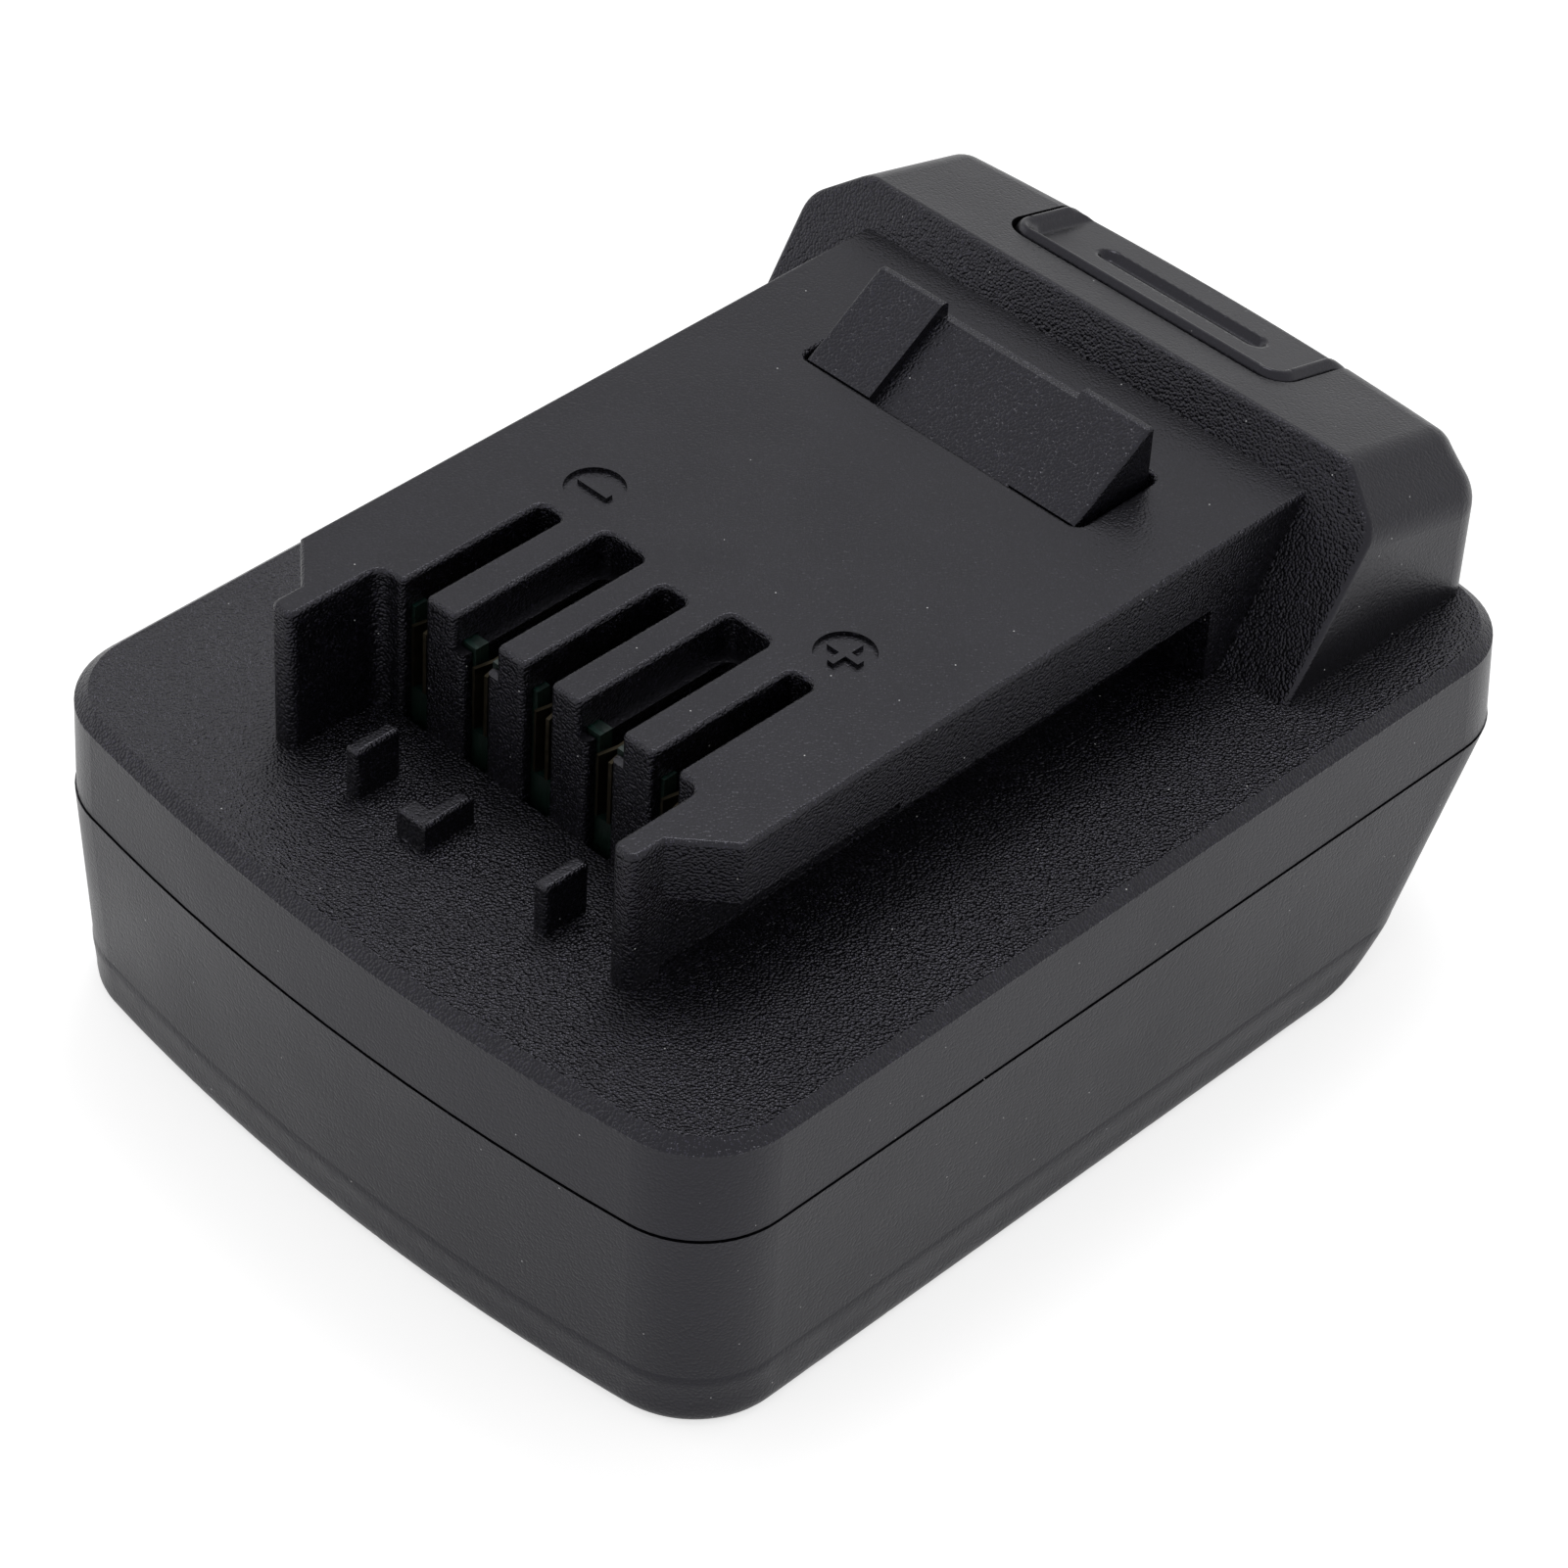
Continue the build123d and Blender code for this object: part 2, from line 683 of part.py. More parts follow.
def release_button():
    """Dished button that follows the block's top and rolls over its rear edge."""
    window = rise(button_plan(0), slide_top, block_height + spare)
    leg = box((-button_half_width, button_half_width), (button_leg_front, block_rear + spare),
              (button_bottom, slide_top))
    cap = soft_block() & (window + leg)
    slant = math.atan(block_fall)

    def above_roof(point):
        return (point.Y - block_crest_y) * math.sin(slant) + (point.Z - block_height) * math.cos(slant)

    def on_roof(edge):
        return all(abs(above_roof(point)) < 0.01 for point in (edge @ 0, edge @ 0.5, edge @ 1))

    def rim(edge):
        return on_roof(edge) and (edge @ 0.5).Y < block_rear - block_rear_radius - rim_edge_radius

    cap = fillet(cap.edges().filter_by(rim), rim_edge_radius)
    roof = Pos(0, block_crest_y, block_height) * Rot(-math.degrees(slant), 0, 0)
    dish_front = (button_front + rim_width - block_crest_y) / math.cos(slant)
    half = button_half_width - rim_width
    far = dish_front + block_rear
    dish = make_face(Polyline((-half, dish_front), (half, dish_front), (half, far), (-half, far), close=True))
    dish = fillet(dish.vertices().sort_by(Axis.Y)[:2], dish_corner_radius)
    groove_place = (recess_y - block_crest_y) / math.cos(slant)
    groove = Pos(0, groove_place) * SlotOverall(2 * recess_half_length, recess_width)
    cuts = ((dish, dish_depth, dish_edge_radius), (groove, dish_depth + recess_depth, recess_edge_radius))
    for plan, depth, radius in cuts:
        cutter = extrude(plan, spare, taper=-recess_taper)
        cutter = fillet(cutter.edges().group_by(Axis.Z)[0], radius)
        cap -= roof * (Pos(0, 0, -depth) * cutter)
    apron = box((-apron_half_width, apron_half_width),
                (button_leg_front, button_leg_front + apron_thickness), (apron_bottom, slide_top))
    return cap + apron


def latch_spring(side):
    """Coil spring between the upper cell holder and the slide."""
    place = Pos(side * spring_x, spring_y, upper_holder_top)
    ring = Circle(spring_radius) - Circle(spring_radius - spring_wire)
    return place * extrude(ring, slide_bottom - upper_holder_top)


# Cells and holders

def cell(start, direction):
    """Round cell with a cap, from its flat end in a direction."""
    body_length = cell_length - cell_cap_height
    body = rod(0, 0, (0, body_length), cell_radius) + rod(0, 0, (body_length, cell_length), cell_cap_radius)
    return Plane(origin=start, z_dir=direction) * body


def cells():
    """Cells 1 to 4 lengthwise with turned ends, cell 5 crosswise in front."""
    made = []
    for i, x in enumerate(cell_columns):
        if i % 2 == 0:
            made.append(cell((x, cell_row_front, cell_axis_height), (0, 1, 0)))
        else:
            made.append(cell((x, cell_row_rear, cell_axis_height), (0, -1, 0)))
    made.append(cell((cell_length / 2, cross_cell_y, cell_axis_height), (-1, 0, 0)))
    return made


def cell_space():
    """What the cells take up, with the holder's clearance."""
    radius = cell_radius + holder_clearance
    long = Rot(-90, 0, 0) * Cylinder(radius, cell_length + 2)
    space = [Pos(x, (cell_row_front + cell_row_rear) / 2, cell_axis_height) * long for x in cell_columns]
    space.append(Pos(0, cross_cell_y, cell_axis_height) * Rot(0, 90, 0) * Cylinder(radius, cell_length + 2))
    return space


def holder_ribs(bottom, top):
    """The cross ribs under or over the cells, as plain blocks before the cells are cut away."""
    half = holder_rib_width / 2
    ribs = [box((-holder_half_width, holder_half_width), (y - half, y + half), (bottom, top))
            for y in holder_rib_rows]
    ribs += [box((x - half, x + half), (cross_rib_front, cross_rib_rear), (bottom, top))
             for x in cross_rib_columns]
    return ribs


def cell_holder_lower():
    """Saddle ribs on a thin plate, on the floor of the lower shell."""
    half = holder_half_width - lower_plate_inset
    rear = holder_rib_rows[-1] + holder_rib_width / 2
    body = box((-half, half), (upper_plate_front, rear), (wall, wall + lower_holder_plate))
    for rib in holder_ribs(wall, lower_holder_height):
        body += rib
    for space in cell_space():
        body -= space
    return body


def cell_holder_upper():
    """Saddle ribs under a plate that carries the board and the latch springs."""
    body = box((-upper_plate_half_width, upper_plate_half_width), (upper_plate_front, upper_plate_rear),
               (upper_holder_top - upper_holder_plate, upper_holder_top))
    for rib in holder_ribs(upper_holder_bottom, upper_holder_top):
        body += rib
    for space in cell_space():
        body -= space
    for side in (-1, 1):
        body += rod(side * spring_x, spring_y, (upper_holder_top, upper_holder_top + spring_pin_length),
                    spring_pin_radius)
    tab_x = cell_columns[0]
    body -= box((tab_x - tab_width, tab_x + tab_width), (cell_row_front - 1, cell_row_front + 0.5),
                (upper_holder_bottom, upper_holder_top + 1))
    body -= rod(0, 0, (upper_holder_bottom, upper_holder_top + 1), thermistor_lead + lead_clearance)
    return body


# Strips, boards and contacts

def strips():
    """Nickel strips: first end tab, three links between neighbours, the corner link, last end tab."""
    low = cell_axis_height - strip_height / 2
    high = cell_axis_height + strip_height / 2
    front = cell_row_front - strip_gap
    rear = cell_row_rear + strip_gap
    front_plate = (front - strip_thickness, front)
    rear_plate = (rear, rear + strip_thickness)
    side_out = cell_length / 2 + strip_gap
    foot = (board_top, board_top + strip_thickness)
    columns = cell_columns

    first = box((columns[0] - strip_reach, columns[0] + strip_reach), front_plate, (low, high))
    first += box((columns[0] - tab_width / 2, columns[0] + tab_width / 2), front_plate, (low, foot[1]))
    first += box((columns[0] - tab_width / 2, -board_half_width + tab_width),
                 (front_plate[0], front_plate[0] + tab_width), foot)
    made = [first]
    for a, b, plate in ((0, 1, rear_plate), (1, 2, front_plate), (2, 3, rear_plate)):
        link = box((columns[a] - strip_reach, columns[b] + strip_reach), plate, (low, high))
        if plate == rear_plate:
            tab = wire_x if columns[a] > 0 else -wire_x
            link += box((tab - tab_width / 2, tab + tab_width / 2), plate,
                        (low, upper_holder_top + 2 * wire_radius))
        made.append(link)
    corner = box((columns[3] - strip_reach, side_out + strip_thickness), front_plate, (low, high))
    corner += box((side_out, side_out + strip_thickness),
                  (cross_cell_y - strip_reach, front_plate[1]), (low, high))
    made.append(corner)
    last_plate = (-side_out - strip_thickness, -side_out)
    across = (cross_cell_y - strip_reach, cross_cell_y + strip_reach)
    last = box(last_plate, across, (low, high))
    tab_y = board_front + tab_width
    last += box(last_plate, (tab_y - tab_width / 2, tab_y + tab_width / 2), (low, foot[1]))
    last += box((last_plate[0], -board_half_width + tab_width),
                (tab_y - tab_width / 2, tab_y + tab_width / 2), foot)
    made.append(last)
    return made


def insulation_sheet():
    """Thin sheet between the upper holder and the circuit board."""
    half = board_half_width
    sheet = box((-half, half), (board_front, board_rear), (upper_holder_top, sheet_top))
    return sheet - rod(0, 0, (upper_holder_top - 1, sheet_top + 1), thermistor_lead + lead_clearance)


def circuit_board():
    """Protection board over the cells."""
    width = 2 * board_half_width
    length = board_rear - board_front
    plan = RectangleRounded(width, length, board_corner_radius)
    return Pos(0, (board_front + board_rear) / 2, sheet_top) * extrude(plan, board_thickness)


def contact_board():
    """Upright board across the fingers, notched where the contacts come through."""
    half = contact_board_half_width
    front = contact_board_y - contact_board_thickness / 2
    rear = contact_board_y + contact_board_thickness / 2
    body = box((-half, half), (front, rear), (board_top, contact_board_top))
    for x in slot_centres:
        body -= box((x - contact_board_notch, x + contact_board_notch), (front - 1, rear + 1),
                    (contact_board_notch_bottom, contact_board_top + 1))
    return body


def terminal_block():
    """Plastic base that carries the five contacts."""
    return box((-terminal_block_half_width, terminal_block_half_width),
               (terminal_block_front, terminal_block_rear), (board_top, terminal_block_top))


def contact(x):
    """Spring clip of one slot: two leaves that pinch near the front, on a folded foot."""
    rear = narrow_slot_end - contact_rear_gap
    mouth = bay_rear + contact_mouth
    half = contact_half_gap
    right = [(half, mouth), (contact_pinch, bay_rear + contact_pinch_place), (half, rear - contact_taper),
             (half, rear)]
    left = [(-a, b) for a, b in reversed(right)]
    leaves = trace(Polyline(*right, *left), contact_thickness)
    body = rise(leaves, contact_bottom, contact_top)
    start = rear - contact_foot
    foot = trace(Polyline((half, start), (half, rear), (-half, rear), (-half, start)), contact_thickness)
    body += rise(foot, terminal_block_top, contact_bottom)
    return Pos(x, 0, 0) * body


def on_board(x, y, width, length, height):
    """A block-shaped component on the circuit board."""
    body = Box(width, length, height, align=(Align.CENTER, Align.CENTER, Align.MIN))
    return Pos(x, y, board_top) * body


def thermistor():
    """Bead between the two middle cells, with its lead up to the board."""
    bead = Pos(0, 0, thermistor_height) * Rot(-90, 0, 0) * Cylinder(thermistor_radius, thermistor_length)
    return bead + rod(0, 0, (thermistor_height, sheet_top), thermistor_lead)


def sense_wires():
    """Two thin wires on the upper holder, from the rear strips to the board."""
    wires = []
    for side in (-1, 1):
        length = cell_row_rear - board_rear - 2 * strip_gap
        middle = (cell_row_rear + board_rear) / 2
        wire = Rot(-90, 0, 0) * Cylinder(wire_radius, length)
        wires.append(Pos(side * wire_x, middle, upper_holder_top + wire_radius + strip_gap) * wire)
    return Compound(wires)


def rear_pad():
    """Foam pad between the rear strips and the slanted wall."""
    front = cell_row_rear + strip_gap + strip_thickness + pad_gap
    return box((-pad_half_width, pad_half_width), (front, front + pad_thickness), (pad_bottom, pad_top))


nodes = {
    "upper_case": upper_case(),
    "lower_case": lower_case(),
    "case_screws": case_screws(),
    "latch_hook": latch_hook(),
    "release_button": release_button(),
    "spring_left": latch_spring(-1),
    "spring_right": latch_spring(1),
    "cell_holder_lower": cell_holder_lower(),
    "cell_holder_upper": cell_holder_upper(),
    "insulation_sheet": insulation_sheet(),
    "circuit_board": circuit_board(),
    "contact_board": contact_board(),
    "terminal_block": terminal_block(),
    "controller_chip": on_board(0, chip_y, chip_size, chip_size, chip_height),
    "fuse": on_board(fuse_x, chip_y, fuse_width, fuse_length, fuse_height),
    "thermistor": thermistor(),
    "sense_wires": sense_wires(),
    "rear_pad": rear_pad(),
}
for number, x in enumerate(transistor_columns, start=1):
    transistor = on_board(x, chip_y, transistor_width, transistor_length, transistor_height)
    nodes[f"transistor_{number}"] = transistor
for number, body in enumerate(cells(), start=1):
    nodes[f"cell_{number}"] = body
for number, body in enumerate(strips(), start=1):
    nodes[f"strip_{number}"] = body
for number, x in enumerate(slot_centres, start=1):
    nodes[f"contact_{number}"] = contact(x)

os.makedirs("parts", exist_ok=True)
for name, body in nodes.items():
    export_step(body, f"parts/{name}.step")
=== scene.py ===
"""Finishes, springs and studio for a slide-on battery pack, laid out as an add-on.

Lengths are in metres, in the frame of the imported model: X across the pack, +Y towards the
release button, +Z up, with the origin in the middle of the surface that the pack stands on.
"""

import math

import bmesh
import bpy
import numpy as np
from bpy.props import FloatProperty, FloatVectorProperty, IntProperty, PointerProperty
from mathutils import Matrix, Vector


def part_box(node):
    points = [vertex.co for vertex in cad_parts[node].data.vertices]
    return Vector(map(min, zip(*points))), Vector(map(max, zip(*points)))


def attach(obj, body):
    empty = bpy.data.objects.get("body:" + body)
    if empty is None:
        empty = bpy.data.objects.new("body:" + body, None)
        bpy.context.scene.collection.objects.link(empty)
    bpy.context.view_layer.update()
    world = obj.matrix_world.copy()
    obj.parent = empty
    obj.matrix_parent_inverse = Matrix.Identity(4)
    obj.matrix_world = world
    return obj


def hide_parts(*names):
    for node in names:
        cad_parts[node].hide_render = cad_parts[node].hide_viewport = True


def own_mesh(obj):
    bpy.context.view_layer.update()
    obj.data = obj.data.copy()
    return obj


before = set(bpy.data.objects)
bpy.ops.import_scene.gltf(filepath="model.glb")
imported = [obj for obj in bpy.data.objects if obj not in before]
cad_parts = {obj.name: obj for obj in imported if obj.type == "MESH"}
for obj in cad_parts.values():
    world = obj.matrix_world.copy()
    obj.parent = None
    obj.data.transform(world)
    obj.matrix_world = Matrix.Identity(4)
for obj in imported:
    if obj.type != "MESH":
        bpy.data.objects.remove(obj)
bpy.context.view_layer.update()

bl_info = {
    "name": "Slide-on battery pack",
    "version": (1, 0, 0),
    "blender": (4, 5, 0),
    "location": "3D View > Sidebar > Battery Pack",
    "description": "Finishes, latch springs and studio of a slide-on battery pack",
    "category": "Object",
}

MM = 0.001

DECK_BAND = (31.2 * MM, 32.7 * MM)       # heights of the deck and of the bevel round it
CREST_Y = 36.6 * MM                      # just behind the top of the block's front slope
SIDE_X = 26.2 * MM                       # just outside the platform's walls
PAINTED_GLINT_GAIN = 11.0                        # painted highlight: how much lighter the crests of the grain are painted, standing in for glints
FINE_PAINTED_GLINTS = 0.4                        # share of the painted crest highlights where the grain is fine
MERGE_DISTANCE = 0.001 * MM              # points nearer than this are one
BUTTON_DEPTH = 6 * MM                    # how far below the roof the button's mesh is divided
BUTTON_CREASE = math.radians(32)         # faces that meet at more than this stay sharp

LAMPS = (                                # name, size, power, place and aim
    ("top_lamp", 0.35, 2.2, (-0.22, 0.33, 1.02), (0, 0, 0.02)),
    ("left_lamp", 0.8, 1.0, (-1.0, -0.35, 0.35), (-0.1, -0.05, 0)),
)
FLOOR_GLOW = 0.65                        # floor's own light to the camera
FLOOR_MIRRORED = 0.34                    # and to a glossy surface
FLOOR_SIDES = 64
FLOOR_RINGS = 16


# Values a user would change

class PackFinish(bpy.types.PropertyGroup):
    """Colours and grain of the moulded plastic and the metal."""

    shell_colour: FloatVectorProperty(
        name="Shell colour", description="Colour of both shells and the button", subtype="COLOR",
        default=(0.0028, 0.0026, 0.0042), min=0, max=1)
    latch_colour: FloatVectorProperty(
        name="Latch colour", description="Colour of the latch wedge", subtype="COLOR",
        default=(0.0034, 0.0034, 0.0058), min=0, max=1)
    dust_colour: FloatVectorProperty(
        name="Dust colour", description="Colour of the tiny specks of dust", subtype="COLOR",
        default=(0.5, 0.5, 0.5), min=0, max=1)
    # Painted shade: the board colour is far darker than a bare board's green, for the shade of the slots
    # that the boards are seen in.
    board_colour_with_painted_shade: FloatVectorProperty(
        name="Board colour", description="Solder mask of the circuit boards", subtype="COLOR",
        default=(0.0012, 0.012, 0.0088), min=0, max=1)
    sleeve_colour: FloatVectorProperty(
        name="Cell sleeve colour", description="Shrink sleeve round each cell", subtype="COLOR",
        default=(0.03, 0.16, 0.38), min=0, max=1)
    grain_size: FloatProperty(
        name="Grain size", description="Width of one pebble of the moulded grain", unit="LENGTH",
        default=0.26 * MM, min=0.05 * MM, max=2 * MM, precision=5)
    grain_depth: FloatProperty(
        name="Grain depth", description="Height of the coarse grain on the deck", unit="LENGTH",
        default=0.12 * MM, min=0, max=0.5 * MM, precision=6)
    fine_depth: FloatProperty(
        name="Fine grain depth", description="Height of the grain on the smooth walls", unit="LENGTH",
        default=0.025 * MM, min=0, max=0.2 * MM, precision=6)
    shell_roughness: FloatProperty(
        name="Shell roughness", description="Roughness of the plastic between its grain",
        default=0.28, min=0, max=1, subtype="FACTOR")
    dust_spacing: FloatProperty(
        name="Dust spacing", description="Mean distance between specks of dust", unit="LENGTH",
        default=2.0 * MM, min=1 * MM, max=20 * MM, precision=5)


class PackSpring(bpy.types.PropertyGroup):
    """Sizes of the two latch springs."""

    wire: FloatProperty(
        name="Wire", description="Thickness of the spring wire", unit="LENGTH",
        default=0.7 * MM, min=0.2 * MM, max=1.2 * MM, precision=5)
    turns: FloatProperty(
        name="Turns", description="Turns of each spring, with the closed ones at its ends",
        default=8.0, min=4, max=14)
    steps: IntProperty(
        name="Steps a turn", description="Rings of the wire in one turn", default=40, min=12, max=96)


class PackButton(bpy.types.PropertyGroup):
    """Sizes of the bead round the release button."""

    bead_height: FloatProperty(
        name="Bead height", description="How far the bead stands above the block's roof",
        unit="LENGTH", default=0.55 * MM, min=0, max=1 * MM, precision=5)
    bead_width: FloatProperty(
        name="Bead width", description="From the button's outline to the inner foot of the bead",
        unit="LENGTH", default=1.7 * MM, min=0.5 * MM, max=4 * MM, precision=5)
    bead_fade: FloatProperty(
        name="Bead fade", description="Length over which the bead sinks into the rear edge",
        unit="LENGTH", default=1.6 * MM, min=0.2 * MM, max=5 * MM, precision=5)
    corner_radius: FloatProperty(
        name="Corner radius", description="Radius of the two front corners", unit="LENGTH",
        default=2.6 * MM, min=0, max=6 * MM, precision=5)
    apron_reach: FloatProperty(
        name="Apron reach", description="How far the hidden apron stands past each side",
        unit="LENGTH", default=1.5 * MM, min=0, max=5 * MM, precision=5)
    edge_length: FloatProperty(
        name="Edge length", description="Longest edge near the roof", unit="LENGTH",
        default=0.45 * MM, min=0.1 * MM, max=5 * MM, precision=5)
    divisions: IntProperty(
        name="Divisions", description="Most times that an edge is halved", default=7, min=1, max=10)


class PackStudio(bpy.types.PropertyGroup):
    """Camera, lamps and floor."""

    azimuth: FloatProperty(
        name="Azimuth", description="Turn of the camera about the pack", subtype="ANGLE",
        default=math.radians(42.368))
    elevation: FloatProperty(
        name="Elevation", description="Height angle of the camera", subtype="ANGLE",
        default=math.radians(40.734))
    roll: FloatProperty(
        name="Roll", description="Tilt of the camera about its own axis", subtype="ANGLE",
        default=math.radians(3.598))
    aim: FloatVectorProperty(
        name="Aim", description="Point in the middle of the picture", subtype="XYZ", unit="LENGTH",
        default=(8.26 * MM, -9.79 * MM, 28.14 * MM), precision=5)
    distance: FloatProperty(
        name="Distance", description="From the camera to its aim", unit="LENGTH",
        default=451.30 * MM, min=0.1, max=5)
    lens: FloatProperty(
        name="Lens", description="Focal length in millimetres on a 36 mm sensor",
        default=124.02, min=10, max=300)
    floor_radius: FloatProperty(
        name="Floor radius", description="Radius of the round floor", unit="LENGTH",
        default=3.0, min=0.5, max=20)
    floor_colour: FloatVectorProperty(
        name="Floor colour", description="Colour of the floor", subtype="COLOR",
        default=(0.56, 0.56, 0.56), min=0, max=1)
    sky: FloatProperty(
        name="Sky", description="Brightness of the room's even light", default=0.8, min=0, max=2)


# Mesh helpers

def grid_faces(rows, columns, wrap_columns):
    """Quads of a grid of points, row by row; the last column joins the first where it wraps."""
    r = np.arange(rows - 1)[:, None]
    c = np.arange(columns if wrap_columns else columns - 1)[None, :]
    nearer = r * columns + c
    beside = r * columns + (c + 1) % columns
    return np.stack([nearer, beside, beside + columns, nearer + columns], -1).reshape(-1, 4)


def new_piece(name, points, faces):
    """A mesh object at the origin from an array of points and a list of faces."""
    mesh = bpy.data.meshes.new(name)
    mesh.from_pydata(np.asarray(points, float).reshape(-1, 3).tolist(), [], [list(f) for f in faces])
    mesh.polygons.foreach_set("use_smooth", np.full(len(mesh.polygons), True))
    mesh.update()
    if mesh.validate():
        raise RuntimeError(f"{name} has faces that Blender had to mend")
    piece = bpy.data.objects.new(name, mesh)
    bpy.context.scene.collection.objects.link(piece)
    return piece


# Node helpers

class Shader:
    """A material and short calls that add nodes to it."""

    def __init__(self, name):
        self.material = bpy.data.materials.new(name)
        self.material.use_nodes = True
        self.tree = self.material.node_tree
        self.tree.nodes.clear()
        self.place = self.add("ShaderNodeTexCoord").outputs["Object"]

    def add(self, kind, settings=None, **inputs):
        """Adds a node. Each named input is set to a value, or linked where it is a socket."""
        node = self.tree.nodes.new(kind)
        for key, value in (settings or {}).items():
            setattr(node, key, value)
        for key, value in inputs.items():
            self.feed(node.inputs[key.replace("_", " ")], value)
        return node

    def feed(self, socket, value):
        """Sets an input, or links it where the value is a socket."""
        if isinstance(value, bpy.types.NodeSocket):
            self.tree.links.new(value, socket)
        else:
            socket.default_value = value

    def maths(self, operation, first, second=0.0, clamp=False):
        """One arithmetic step on values or sockets."""
        node = self.add("ShaderNodeMath", {"operation": operation, "use_clamp": clamp})
        self.feed(node.inputs[0], first)
        self.feed(node.inputs[1], second)
        return node.outputs[0]

    def ramp(self, value, low, high, start=0.0, end=1.0):
        """A smooth rise from start to end as a value goes from low to high."""
        node = self.add("ShaderNodeMapRange", {"interpolation_type": "SMOOTHSTEP"}, Value=value)
        for socket, number in zip(node.inputs[1:5], (low, high, start, end)):
            socket.default_value = number
        return node.outputs[0]

    def noise(self, size, detail=2.0, roughness=0.5, where=None):
        """Soft noise whose lumps are about one size across."""
        node = self.add("ShaderNodeTexNoise", Vector=where or self.place, Scale=1 / size,
                        Detail=detail, Roughness=roughness)
        return node.outputs["Fac"]

    def pebbles(self, size, smooth):
        """Rounded cells of one size: the distance to the nearest cell centre."""
        node = self.add("ShaderNodeTexVoronoi", {"feature": "SMOOTH_F1"}, Vector=self.place,
                        Scale=1 / size, Smoothness=smooth)
        return node.outputs["Distance"]

    def blend(self, share, first, second):
        """Mixes two colours by a share."""
        node = self.add("ShaderNodeMix", {"data_type": "RGBA"})
        self.feed(node.inputs["Factor"], share)
        self.feed(node.inputs[6], first)
        self.feed(node.inputs[7], second)
        return node.outputs[2]

    def axis(self, name, source="Object"):
        """One axis of the place on the piece, or of the way its surface faces."""
        coordinates = self.add("ShaderNodeTexCoord").outputs[source]
        return self.add("ShaderNodeSeparateXYZ", Vector=coordinates).outputs[name]

    def relief(self, height, depth):
        """A bump of the given depth in metres."""
        return self.add("ShaderNodeBump", Height=height, Distance=depth, Strength=1.0).outputs[0]

    def surface(self, colour, roughness, normal=None, **inputs):
        """Ends the material in one surface shader."""
        shader = self.add("ShaderNodeBsdfPrincipled", Roughness=roughness, **inputs)
        self.feed(shader.inputs["Base Color"], colour)
        if normal is not None:
            self.feed(shader.inputs["Normal"], normal)
        out = self.add("ShaderNodeOutputMaterial")
        self.tree.links.new(shader.outputs[0], out.inputs["Surface"])
        return self.material


def opaque(colour, gain=1.0):
    """A colour with full alpha, lighter or darker by a gain."""
    return (colour[0] * gain, colour[1] * gain, colour[2] * gain, 1.0)


def finish(material, *nodes):
    """Puts a material on CAD pieces."""
    for name in nodes:
        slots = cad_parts[name].data.materials
        slots.clear()
        slots.append(material)


# Materials

def grain_share(s, smooth_share):
    """How much of the coarse grain each place of the top shell carries.

    The deck, its bevel, the front slope of the block, the walls of the platform and every
    rounded edge carry it. The outer side walls, the platform's top, and the sides and rear of
    the block carry a small share.
    """
    up = s.axis("Z")
    level = s.axis("Z", "Normal")
    above = s.ramp(up, DECK_BAND[1], DECK_BAND[1] + 0.4 * MM)
    on_deck = s.maths("MULTIPLY", s.ramp(up, DECK_BAND[0], DECK_BAND[0] + 0.3 * MM),
                      s.maths("SUBTRACT", 1.0, above))
    slanted = s.maths("MULTIPLY", s.ramp(level, 0.1, 0.25), s.ramp(level, 0.93, 0.97, 1.0, 0.0))
    upright = s.maths("MULTIPLY", above, s.ramp(level, 0.04, 0.1, 0.7, 0.0))
    outside = s.maths("MULTIPLY", s.ramp(s.maths("ABSOLUTE", s.axis("X")), SIDE_X, SIDE_X + 0.4 * MM),
                      s.ramp(s.maths("ABSOLUTE", s.axis("X", "Normal")), 0.3, 0.45))
    behind = s.ramp(s.axis("Y"), CREST_Y, CREST_Y + 0.6 * MM)
    smooth = s.maths("MAXIMUM", outside, behind)
    rough = s.maths("MULTIPLY", s.maths("MAXIMUM", slanted, upright), s.maths("SUBTRACT", 1.0, smooth))
    return s.ramp(s.maths("MAXIMUM", on_deck, rough), 0.0, 1.0, smooth_share, 1.0)


